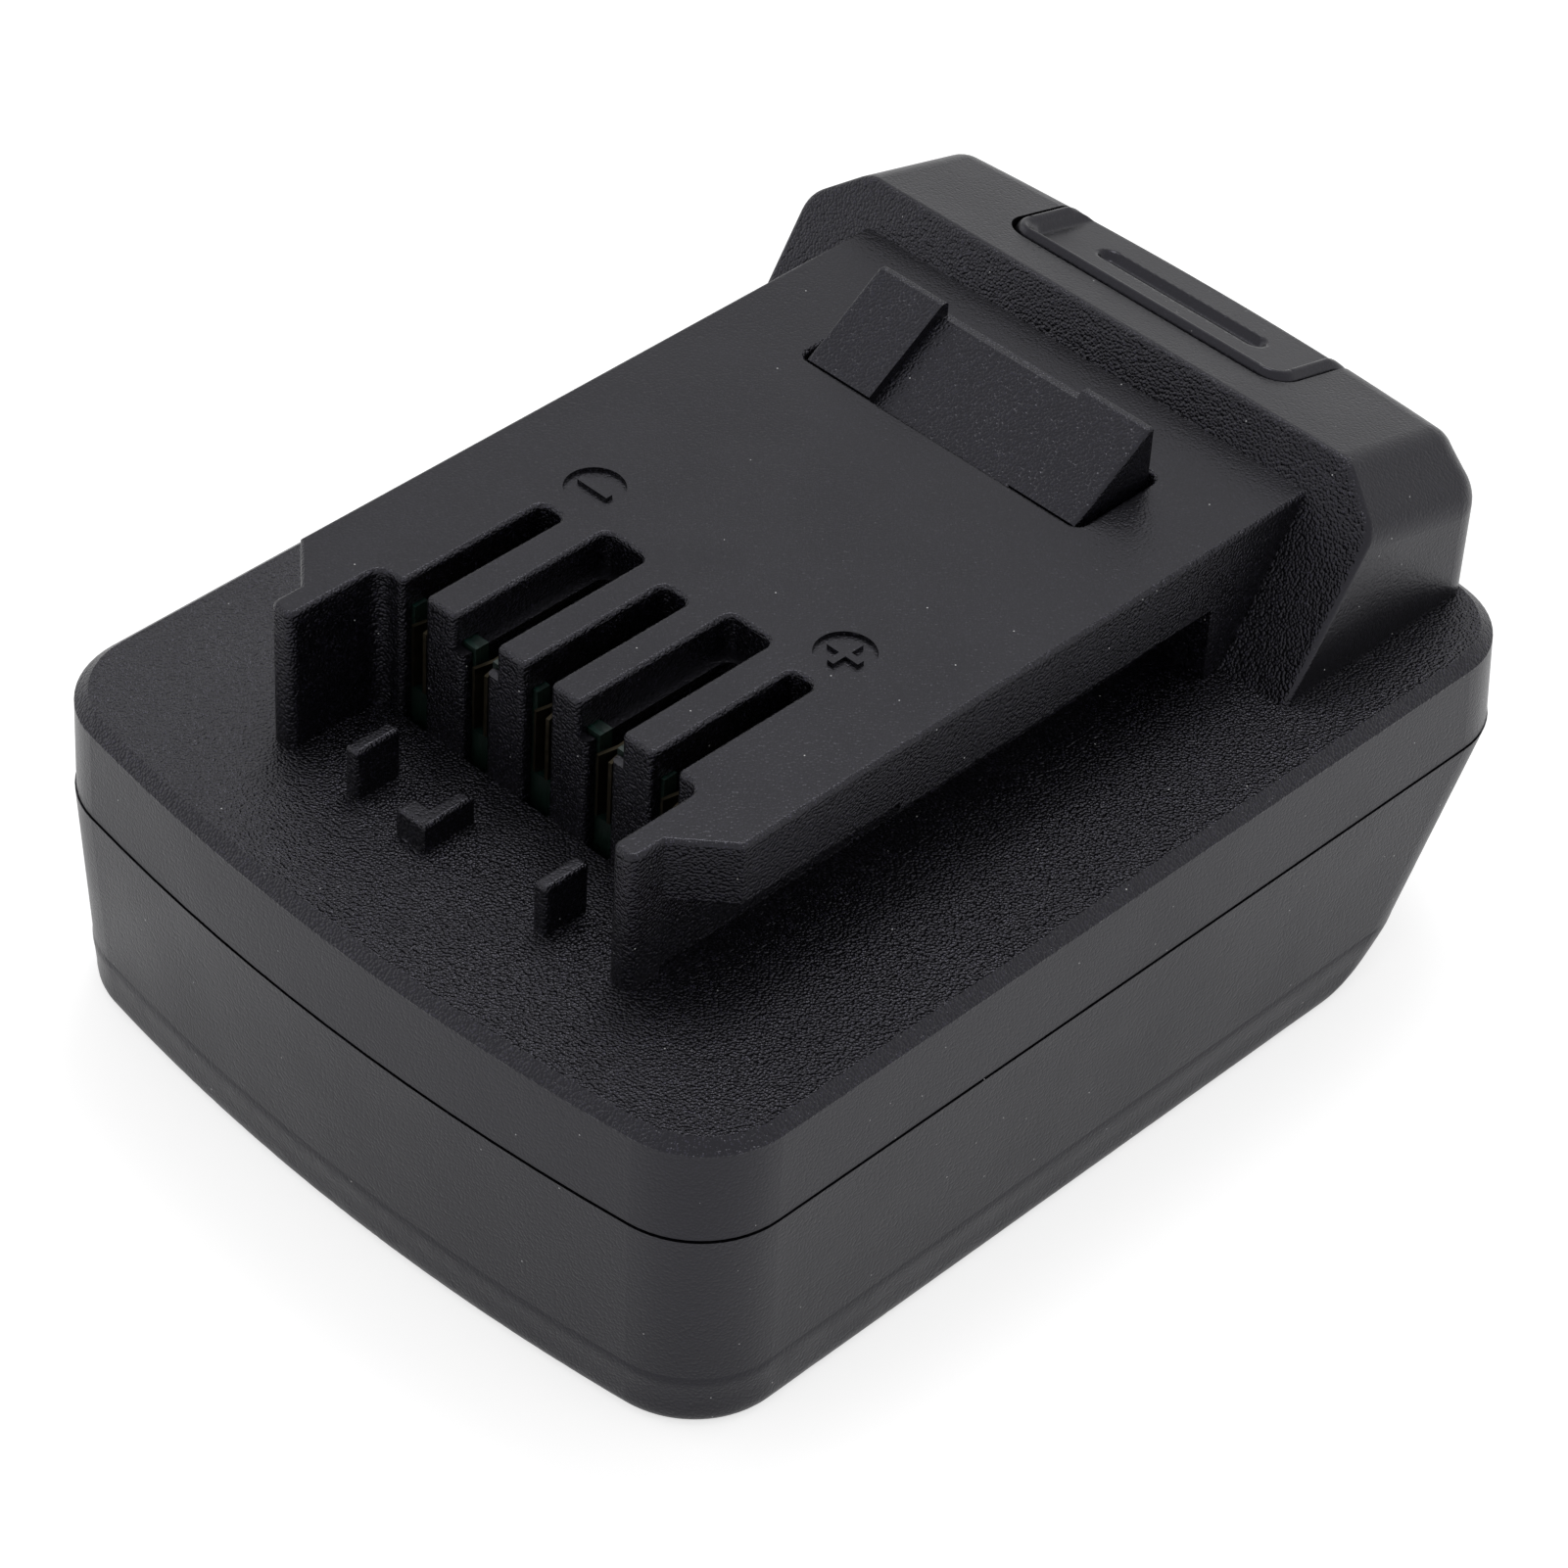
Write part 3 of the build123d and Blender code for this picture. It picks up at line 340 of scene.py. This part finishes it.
def moulded_plastic(name, colour, grained, depth_gain=1.0, dust=1.0):
    """Black moulded plastic: grain, painted highlights on the grain's crests, weaker in patches, and
    specks of dust.

    The grain is small domes with soft lumps on them. On the grained shell its height follows
    grain_share, and elsewhere the fine grain lies all over.
    """
    looks = bpy.context.scene.pack_finish
    s = Shader(name)
    pebble = s.pebbles(looks.grain_size, smooth=0.2)
    lumps = s.noise(looks.grain_size, detail=2.0)
    height = s.maths("SUBTRACT", s.maths("MULTIPLY", lumps, 0.5), s.maths("POWER", pebble, 2.0))
    fine = looks.fine_depth * depth_gain
    if grained:
        height = s.maths("MULTIPLY", height, grain_share(s, fine / looks.grain_depth))
        normal = s.relief(height, looks.grain_depth)
    else:
        normal = s.relief(height, fine)

    # Patches in which the painted highlights on the grain's crests are weaker.
    glint_patches = s.ramp(s.noise(6 * MM, detail=3.0), 0.3, 0.7, 0.6, 1.0)
    scattered = s.ramp(s.noise(2.2 * looks.grain_size, detail=3.0), 0.4, 0.6)
    # Painted highlights: the tops of the grain's domes get a lighter colour that stands in for the glints
    # of light on them.
    painted_glints = s.maths("MULTIPLY", s.ramp(pebble, 0.12, 0.42, 1.0, 0.0), scattered)
    # The painted highlights follow the same share as the grain.
    share = grain_share(s, FINE_PAINTED_GLINTS) if grained else FINE_PAINTED_GLINTS
    painted_glints = s.maths("MULTIPLY", painted_glints, share)
    body = s.blend(s.maths("MULTIPLY", painted_glints, glint_patches), opaque(colour, 0.3), opaque(colour, PAINTED_GLINT_GAIN))
    speck_cell = s.add("ShaderNodeTexVoronoi", Vector=s.place, Scale=1 / looks.dust_spacing)
    near = s.ramp(speck_cell.outputs["Distance"], 0.024, 0.042, 1.0, 0.0)
    chosen = s.ramp(s.add("ShaderNodeSeparateColor", Color=speck_cell.outputs["Color"]).outputs[0],
                    0.44, 0.46, 0.0, dust)
    specks = s.maths("MULTIPLY", near, chosen, clamp=True)
    body = s.blend(specks, body, opaque(looks.dust_colour))
    patches = s.noise(9 * MM, detail=2.0)
    roughness = s.ramp(patches, 0.3, 0.7, looks.shell_roughness - 0.03, looks.shell_roughness + 0.04)
    return s.surface(body, roughness, normal, IOR=1.49, Specular_Tint=(0.88, 0.865, 1.0, 1.0))


def plain_plastic(name, colour, roughness=0.5, grain=0.4 * MM, depth=0.006 * MM):
    """Inner moulded piece with a light grain."""
    s = Shader(name)
    height = s.noise(grain, detail=2.0)
    tint = s.blend(s.noise(5 * MM), opaque(colour, 0.9), opaque(colour, 1.1))
    return s.surface(tint, roughness, s.relief(height, depth), IOR=1.5)


def metal(name, colour, roughness, scratch=(1.0, 1.0, 0.08), size=0.5 * MM, depth=0.003 * MM):
    """Drawn or plated metal with fine lines along one axis and slight tarnish."""
    s = Shader(name)
    stretched = s.add("ShaderNodeMapping", Vector=s.place, Scale=scratch).outputs[0]
    lines = s.noise(size, detail=4.0, where=stretched)
    tarnish = s.ramp(s.noise(2.5 * MM, detail=4.0), 0.35, 0.75)
    tint = s.blend(tarnish, opaque(colour), opaque(colour, 0.72))
    rough = s.ramp(lines, 0.3, 0.7, roughness - 0.06, roughness + 0.1)
    return s.surface(tint, rough, s.relief(lines, depth), Metallic=1.0)


def cell_sleeve(name, along):
    """Shrink sleeve on a cell's side, and its bare nickel-plated ends.

    A face counts as an end where it looks along the cell's axis.
    """
    looks = bpy.context.scene.pack_finish
    s = Shader(name)
    facing = s.maths("ABSOLUTE", s.axis(along, "Normal"))
    end = s.ramp(facing, 0.9, 0.95)
    crease = s.noise(1.8 * MM, detail=3.0)
    sleeve = s.blend(crease, opaque(looks.sleeve_colour, 0.92), opaque(looks.sleeve_colour, 1.08))
    colour = s.blend(end, sleeve, (0.6, 0.58, 0.54, 1.0))
    height = s.maths("ADD", s.maths("MULTIPLY", crease, 0.7), s.maths("MULTIPLY", s.noise(0.3 * MM), 0.3))
    roughness = s.ramp(s.noise(0.7 * MM, detail=3.0), 0.3, 0.7, 0.26, 0.36)
    return s.surface(colour, roughness, s.relief(height, 0.02 * MM), Metallic=end, IOR=1.53)


def circuit_board(name):
    """Green solder mask over copper tracks, with the cut edges of the boards. Both carry painted shade:
    they are coloured much darker than a bare board, for the shade deep in the slots.
    """
    looks = bpy.context.scene.pack_finish
    s = Shader(name)
    facing = s.maths("ABSOLUTE", s.axis("Z", "Normal"))
    track = s.add("ShaderNodeTexBrick", {"offset": 0.37}, Vector=s.place, Scale=1 / (8 * MM),
                  Mortar_Size=0.06, Mortar_Smooth=0.2, Brick_Width=0.9, Row_Height=0.3)
    lines = s.maths("SUBTRACT", 1.0, track.outputs["Fac"])
    weave = s.maths("MULTIPLY", s.noise(0.35 * MM, detail=1.0), 0.3)
    mask = s.blend(lines, opaque(looks.board_colour_with_painted_shade, 0.8), opaque(looks.board_colour_with_painted_shade, 1.35))
    # Painted shade: the cut edges of the boards are near black, for the shade in the slots.
    edge = s.blend(s.noise(0.25 * MM), (0.0012, 0.006, 0.0045, 1.0), (0.003, 0.011, 0.007, 1.0))
    colour = s.blend(s.ramp(facing, 0.4, 0.6), edge, mask)
    height = s.maths("ADD", lines, weave)
    rough = s.ramp(weave, 0.05, 0.25, 0.28, 0.42)
    return s.surface(colour, rough, s.relief(height, 0.02 * MM), IOR=1.55)


def fibre_sheet(name):
    """Pressed insulating fibre with short tangled hairs."""
    s = Shader(name)
    wide = s.add("ShaderNodeMapping", Vector=s.place, Scale=(1.0, 0.25, 1.0)).outputs[0]
    hairs = s.noise(0.4 * MM, detail=5.0, where=wide)
    colour = s.blend(hairs, (0.6, 0.64, 0.5, 1.0), (0.78, 0.8, 0.68, 1.0))
    return s.surface(colour, s.ramp(hairs, 0.3, 0.7, 0.6, 0.75), s.relief(hairs, 0.02 * MM), IOR=1.45)


def foam(name):
    """Black closed-cell foam with open pores on its cut faces."""
    s = Shader(name)
    pores = s.pebbles(0.6 * MM, smooth=0.1)
    # Painted shade: the pores are coloured darker than the cell walls round them.
    colour = s.blend(s.ramp(pores, 0.2, 0.6), (0.012, 0.012, 0.013, 1.0), (0.05, 0.05, 0.052, 1.0))
    return s.surface(colour, 0.85, s.relief(pores, 0.2 * MM), IOR=1.4)


def wire_skin(name):
    """Glossy insulation of the two sense wires: black on the left, red on the right."""
    s = Shader(name)
    side = s.ramp(s.axis("X"), -1 * MM, 1 * MM)
    ripple = s.noise(0.9 * MM, detail=2.0)
    pair = s.blend(side, (0.014, 0.014, 0.014, 1.0), (0.42, 0.018, 0.012, 1.0))
    return s.surface(pair, s.ramp(ripple, 0.3, 0.7, 0.28, 0.4), s.relief(ripple, 0.01 * MM), IOR=1.5)


# Pieces

def spring_points(middle, radius, bottom, top, wire, turns, steps, sides=12):
    """Points of a compression spring with closed ends, as rings of the wire.

    The wire's centre goes round a circle while it climbs. Its height rises by one wire over
    the first and the last turn, and evenly between. Each ring is a circle square to the wire.
    """
    count = int(turns * steps) + 1
    turn = np.linspace(0, turns, count)
    angle = 2 * math.pi * turn
    low = bottom + wire / 2
    high = top - wire / 2
    climb = np.interp(turn, [0, 1, turns - 1, turns], [low, low + wire * 1.02, high - wire * 1.02, high])
    soft = np.array([0.25, 0.5, 0.25])
    for _ in range(steps // 4):
        climb[1:-1] = np.convolve(climb, soft, mode="valid")
    centre = np.stack([middle[0] + radius * np.cos(angle), middle[1] + radius * np.sin(angle), climb], -1)
    along = np.gradient(centre, axis=0)
    along /= np.linalg.norm(along, axis=1, keepdims=True)
    outward = np.stack([np.cos(angle), np.sin(angle), np.zeros(count)], -1)
    up = np.cross(along, outward)
    around = 2 * math.pi * np.arange(sides) / sides
    ring = (outward[:, None] * np.cos(around)[None, :, None] + up[:, None] * np.sin(around)[None, :, None])
    points = centre[:, None] + wire / 2 * ring
    points[..., 2] = np.clip(points[..., 2], bottom, top)
    return points


def make_spring(node):
    """A coil spring in the place of one plain spring of the frame."""
    sizes = bpy.context.scene.pack_spring
    low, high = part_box(node)
    middle = ((low.x + high.x) / 2, (low.y + high.y) / 2)
    radius = (high.x - low.x) / 2 - sizes.wire / 2
    points = spring_points(middle, radius, low.z, high.z, sizes.wire, sizes.turns, sizes.steps)
    rows, sides = points.shape[:2]
    faces = grid_faces(rows, sides, True)[:, ::-1].tolist()
    faces.append(list(range(sides)))
    faces.append(list(range(rows * sides - 1, (rows - 1) * sides - 1, -1)))
    piece = new_piece(f"{node}_coil", points, faces)
    piece.data.materials.append(metal("spring_steel", (0.5, 0.5, 0.51), 0.3))
    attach(piece, "case")
    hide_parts(node)
    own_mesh(piece)
    return piece


def beaded_button():
    """The release button with the raised bead that runs round its dish.

    A merged copy of the CAD mesh is divided until no edge near the roof is longer than the
    set length. A point at a distance d inwards from the outline then rises by
    height * sin(pi * d / width) squared, and by nothing past the width. The outline is a
    rectangle with rounded front corners, open to the rear, where the bead fades out.
    """
    sizes = bpy.context.scene.pack_button
    low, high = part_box("release_button")
    half = (high.x - low.x) / 2 - sizes.apron_reach
    dense = bmesh.new()
    dense.from_mesh(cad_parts["release_button"].data)
    bmesh.ops.remove_doubles(dense, verts=dense.verts, dist=MERGE_DISTANCE)
    for _ in range(sizes.divisions):
        long = [edge for edge in dense.edges
                if edge.calc_length() > sizes.edge_length
                and max(v.co.z for v in edge.verts) > high.z - BUTTON_DEPTH]
        bmesh.ops.subdivide_edges(dense, edges=long, cuts=1)
        bmesh.ops.triangulate(dense, faces=dense.faces)
    mesh = bpy.data.meshes.new("release_button_cap")
    dense.to_mesh(mesh)
    dense.free()
    points = np.empty(len(mesh.vertices) * 3)
    mesh.vertices.foreach_get("co", points)
    points = points.reshape(-1, 3)
    normals = np.empty(len(mesh.vertices) * 3)
    mesh.vertices.foreach_get("normal", normals)
    corner = sizes.corner_radius
    past_side = half - corner - np.abs(points[:, 0])
    past_front = points[:, 1] - low.y - corner
    beyond = np.hypot(np.minimum(past_side, 0), np.minimum(past_front, 0))
    inwards = corner + np.minimum(np.minimum(past_side, past_front), 0)
    inwards = np.where((past_side < 0) & (past_front < 0), corner - beyond, inwards)
    inwards = np.where((past_side > 0) & (past_front > 0), corner, inwards)
    reach = np.clip(inwards / sizes.bead_width, 0, 1)
    fade = np.clip((high.y - points[:, 1]) / sizes.bead_fade - 1, 0, 1)
    facing = np.clip(normals.reshape(-1, 3)[:, 2] * 2, 0, 1)
    points[:, 2] += sizes.bead_height * np.sin(math.pi * reach) ** 2 * fade * facing
    mesh.vertices.foreach_set("co", points.ravel())
    mesh.polygons.foreach_set("use_smooth", np.full(len(mesh.polygons), True))
    mesh.set_sharp_from_angle(angle=BUTTON_CREASE)
    mesh.update()
    piece = bpy.data.objects.new("release_button_cap", mesh)
    bpy.context.scene.collection.objects.link(piece)
    piece.modifiers.new("even_shading", "WEIGHTED_NORMAL").keep_sharp = True
    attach(piece, "latch")
    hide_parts("release_button")
    return piece


# Operators

class PACK_OT_upper_case(bpy.types.Operator):
    """Finish the top shell with its coarse deck grain"""
    bl_idname = "pack.upper_case"
    bl_label = "Upper case"

    def execute(self, context):
        colour = context.scene.pack_finish.shell_colour
        finish(moulded_plastic("grained_black_plastic", colour, True), "upper_case")
        return {"FINISHED"}


class PACK_OT_lower_case(bpy.types.Operator):
    """Finish the bottom shell with its fine grain"""
    bl_idname = "pack.lower_case"
    bl_label = "Lower case"

    def execute(self, context):
        colour = context.scene.pack_finish.shell_colour
        finish(moulded_plastic("satin_black_plastic", colour, False, depth_gain=1.2), "lower_case")
        return {"FINISHED"}


class PACK_OT_latch(bpy.types.Operator):
    """Finish the latch wedge and the release button"""
    bl_idname = "pack.latch"
    bl_label = "Latch and button"

    def execute(self, context):
        looks = context.scene.pack_finish
        finish(moulded_plastic("latch_plastic", looks.latch_colour, False, depth_gain=2.6), "latch_hook")
        skin = moulded_plastic("button_plastic", looks.shell_colour, False, depth_gain=0.4, dust=0.3)
        beaded_button().data.materials.append(skin)
        return {"FINISHED"}


class PACK_OT_springs(bpy.types.Operator):
    """Wind the two latch springs"""
    bl_idname = "pack.springs"
    bl_label = "Latch springs"

    def execute(self, context):
        for node in ("spring_left", "spring_right"):
            make_spring(node)
        return {"FINISHED"}


class PACK_OT_screws(bpy.types.Operator):
    """Finish the four case screws"""
    bl_idname = "pack.screws"
    bl_label = "Case screws"

    def execute(self, context):
        finish(metal("zinc_plate", (0.5, 0.5, 0.52), 0.34, scratch=(1.0, 1.0, 1.0)), "case_screws")
        return {"FINISHED"}


class PACK_OT_cells(bpy.types.Operator):
    """Finish the five cells with their sleeves and bare ends"""
    bl_idname = "pack.cells"
    bl_label = "Cells"

    def execute(self, context):
        finish(cell_sleeve("lengthwise_sleeve", "Y"), "cell_1", "cell_2", "cell_3", "cell_4")
        finish(cell_sleeve("crosswise_sleeve", "X"), "cell_5")
        return {"FINISHED"}


class PACK_OT_holders(bpy.types.Operator):
    """Finish the cell holders, the terminal base and the foam pad"""
    bl_idname = "pack.holders"
    bl_label = "Holders and pad"

    def execute(self, context):
        holders = ("cell_holder_lower", "cell_holder_upper")
        finish(plain_plastic("holder_plastic", (0.022, 0.022, 0.024)), *holders)
        finish(plain_plastic("terminal_plastic", (0.016, 0.016, 0.016), roughness=0.4), "terminal_block")
        finish(foam("black_foam"), "rear_pad")
        return {"FINISHED"}


class PACK_OT_metalwork(bpy.types.Operator):
    """Finish the nickel strips and the terminal contacts"""
    bl_idname = "pack.metalwork"
    bl_label = "Strips and contacts"

    def execute(self, context):
        strips = [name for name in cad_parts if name.startswith("strip_")]
        contacts = [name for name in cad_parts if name.startswith("contact_") and name[-1].isdigit()]
        finish(metal("nickel_strip", (0.62, 0.59, 0.53), 0.3), *strips)
        # Painted shade: the contacts are coloured a dark brass, far darker than the metal, for the shade
        # deep in the slots.
        finish(metal("contact_plate", (0.05, 0.042, 0.028), 0.4, scratch=(1.0, 0.1, 1.0)), *contacts)
        return {"FINISHED"}


class PACK_OT_boards(bpy.types.Operator):
    """Finish the boards, the sheet under them and what they carry"""
    bl_idname = "pack.boards"
    bl_label = "Boards"

    def execute(self, context):
        finish(circuit_board("solder_mask"), "circuit_board", "contact_board")
        finish(fibre_sheet("fibre_sheet"), "insulation_sheet")
        chips = ("controller_chip", "transistor_1", "transistor_2", "thermistor")
        finish(plain_plastic("chip_resin", (0.014, 0.014, 0.015), roughness=0.55), *chips)
        finish(plain_plastic("fuse_ceramic", (0.58, 0.56, 0.5), roughness=0.4, grain=0.8 * MM), "fuse")
        finish(wire_skin("wire_skin"), "sense_wires")
        return {"FINISHED"}


def lamp(name, size, power, place, aim):
    """A square soft lamp that faces a point."""
    data = bpy.data.lights.new(name, "AREA")
    data.shape = "SQUARE"
    data.size = size
    data.energy = power
    piece = bpy.data.objects.new(name, data)
    way = Vector(aim) - Vector(place)
    piece.matrix_world = Matrix.Translation(place) @ way.to_track_quat("-Z", "Y").to_matrix().to_4x4()
    bpy.context.scene.collection.objects.link(piece)
    return piece


class PACK_OT_studio(bpy.types.Operator):
    """Set up the floor, the lamps, the room's light and the camera"""
    bl_idname = "pack.studio"
    bl_label = "Studio"

    def execute(self, context):
        studio = context.scene.pack_studio
        self.floor(studio)
        self.room(context, studio)
        for values in LAMPS:
            lamp(*values)
        self.camera(context, studio)
        context.scene.view_settings.view_transform = "Standard"
        return {"FINISHED"}

    def floor(self, studio):
        """A round floor: rings of points at evenly growing distances, with a pole in the middle."""
        rings = studio.floor_radius * np.linspace(0.02, 1.0, FLOOR_RINGS) ** 2
        angle = 2 * math.pi * np.arange(FLOOR_SIDES) / FLOOR_SIDES
        circle = np.stack([np.cos(angle), np.sin(angle), np.zeros(FLOOR_SIDES)], -1)
        points = (rings[:, None, None] * circle[None]).reshape(-1, 3)
        points = np.vstack([points, [[0, 0, 0]]])
        faces = grid_faces(FLOOR_RINGS, FLOOR_SIDES, True)[:, ::-1].tolist()
        faces += [[i, (i + 1) % FLOOR_SIDES, len(points) - 1] for i in range(FLOOR_SIDES)]
        floor = new_piece("floor", points, faces)
        s = Shader("floor_paint")
        tone = s.blend(s.noise(0.4), opaque(studio.floor_colour, 0.995), opaque(studio.floor_colour))
        matt = s.add("ShaderNodeBsdfDiffuse", Color=tone)
        glow = s.add("ShaderNodeEmission", Color=(1, 1, 1, 1))
        path = s.add("ShaderNodeLightPath")
        seen = s.maths("MULTIPLY", path.outputs["Is Camera Ray"], FLOOR_GLOW)
        mirrored = s.maths("MULTIPLY", path.outputs["Is Glossy Ray"], FLOOR_MIRRORED)
        s.feed(glow.inputs["Strength"], s.maths("ADD", seen, mirrored))
        both = s.add("ShaderNodeAddShader")
        s.tree.links.new(matt.outputs[0], both.inputs[0])
        s.tree.links.new(glow.outputs[0], both.inputs[1])
        out = s.add("ShaderNodeOutputMaterial")
        s.tree.links.new(both.outputs[0], out.inputs["Surface"])
        floor.data.materials.append(s.material)

    def room(self, context, studio):
        """Even light from all round, at full white where the camera looks at it."""
        world = bpy.data.worlds.new("room")
        context.scene.world = world
        world.use_nodes = True
        tree = world.node_tree
        path = tree.nodes.new("ShaderNodeLightPath")
        level = tree.nodes.new("ShaderNodeMapRange")
        level.inputs["To Min"].default_value = studio.sky
        tree.links.new(path.outputs["Is Camera Ray"], level.inputs["Value"])
        tree.links.new(level.outputs[0], tree.nodes["Background"].inputs["Strength"])
        tree.nodes["Background"].inputs["Color"].default_value = (1, 1, 1, 1)

    def camera(self, context, studio):
        """The camera looks at its aim from an azimuth and an elevation, with a slight roll."""
        a, e, r = studio.azimuth, studio.elevation, studio.roll
        back = Vector((math.sin(a) * math.cos(e), -math.cos(a) * math.cos(e), math.sin(e)))
        right = Vector((math.cos(a), math.sin(a), 0))
        up = back.cross(right)
        tilted_right = right * math.cos(r) + up * math.sin(r)
        tilted_up = up * math.cos(r) - right * math.sin(r)
        turn = Matrix((tilted_right, tilted_up, back)).transposed().to_4x4()
        data = bpy.data.cameras.new("camera")
        data.lens = studio.lens
        data.sensor_width = 36.0
        data.clip_start = 0.01
        camera = bpy.data.objects.new("camera", data)
        camera.matrix_world = Matrix.Translation(Vector(studio.aim) + back * studio.distance) @ turn
        context.scene.collection.objects.link(camera)
        context.scene.camera = camera


class PACK_PT_panel(bpy.types.Panel):
    """Lists the pack's values and the buttons that make it"""
    bl_idname = "PACK_PT_panel"
    bl_label = "Battery Pack"
    bl_space_type = "VIEW_3D"
    bl_region_type = "UI"
    bl_category = "Battery Pack"

    def draw(self, context):
        for group in (getattr(context.scene, name) for name in GROUPS):
            box = self.layout.box()
            for name in group.bl_rna.properties.keys():
                if name not in ("rna_type", "name"):
                    box.prop(group, name)
        for operator in OPERATORS:
            self.layout.operator(operator.bl_idname)


OPERATORS = (
    PACK_OT_upper_case,
    PACK_OT_lower_case,
    PACK_OT_latch,
    PACK_OT_springs,
    PACK_OT_screws,
    PACK_OT_cells,
    PACK_OT_holders,
    PACK_OT_metalwork,
    PACK_OT_boards,
    PACK_OT_studio,
)
GROUPS = {
    "pack_finish": PackFinish,
    "pack_spring": PackSpring,
    "pack_button": PackButton,
    "pack_studio": PackStudio,
}


def register():
    """Registers the values, the operators and the panel."""
    for name, group in GROUPS.items():
        bpy.utils.register_class(group)
        setattr(bpy.types.Scene, name, PointerProperty(type=group))
    for operator in OPERATORS:
        bpy.utils.register_class(operator)
    bpy.utils.register_class(PACK_PT_panel)


def unregister():
    """Takes them away again."""
    bpy.utils.unregister_class(PACK_PT_panel)
    for operator in reversed(OPERATORS):
        bpy.utils.unregister_class(operator)
    for name, group in GROUPS.items():
        delattr(bpy.types.Scene, name)
        bpy.utils.unregister_class(group)


def main():
    """Makes the pack."""
    register()
    for operator in OPERATORS:
        call = getattr(bpy.ops.pack, operator.bl_idname.split(".")[1])
        if call() != {"FINISHED"}:
            raise RuntimeError(f"{operator.bl_label} didn't finish")


if __name__ == "__main__":
    main()
